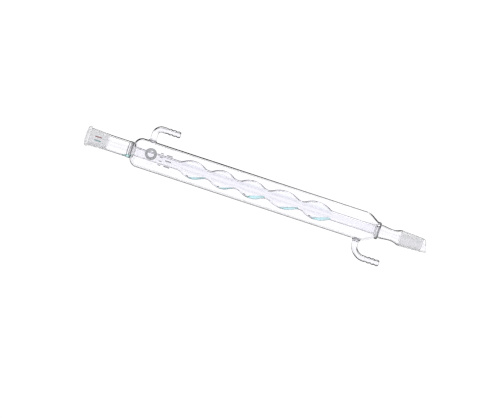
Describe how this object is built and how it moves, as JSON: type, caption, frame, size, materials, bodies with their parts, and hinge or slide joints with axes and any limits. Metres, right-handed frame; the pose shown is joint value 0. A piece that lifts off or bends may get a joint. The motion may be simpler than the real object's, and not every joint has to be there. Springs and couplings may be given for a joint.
{
  "type": "liebig condenser with bulbed inner tube",
  "caption": "Water-cooled glass condenser: a long cylindrical jacket with two bent hose arms around a bulbed inner tube, with a ground socket at the upper end and a ground cone at the lower.",
  "frame": {"origin": "centre of the upper socket's mouth, on the condenser's axis", "axes": "+X along the axis from the socket to the cone, the way the condensate runs; +Z towards the coolant outlet arm; +Y normal to the plane of the two hose arms. In use the axis is set sloping or upright, +X downwards."},
  "size_m": [0.4155, 0.0351, 0.0774],
  "materials": {
    "clear_glass": "clear borosilicate, fire-polished",
    "seal_glass": "clear borosilicate, thick at the fused seals",
    "ground_glass": "frosted by grinding",
    "enamel": "fired grey enamel"
  },
  "bodies": {
    "root": {"socket_joint": "ground_glass", "vapour_chamber": "clear_glass", "upper_ring_seal": "seal_glass", "water_jacket": "clear_glass", "bulb_tube": "clear_glass", "lower_ring_seal": "seal_glass", "delivery_tube": "clear_glass", "cone_joint": "ground_glass", "drip_tip": "clear_glass", "outlet_foot": "seal_glass", "coolant_outlet_arm": "clear_glass", "outlet_hose_tip": "clear_glass", "inlet_foot": "seal_glass", "coolant_inlet_arm": "clear_glass", "inlet_hose_tip": "clear_glass", "jacket_ring_mark": "enamel", "jacket_dash_marks": "enamel", "jacket_bar_marks": "enamel", "socket_bar_marks": "enamel"}
  },
  "joints": []
}
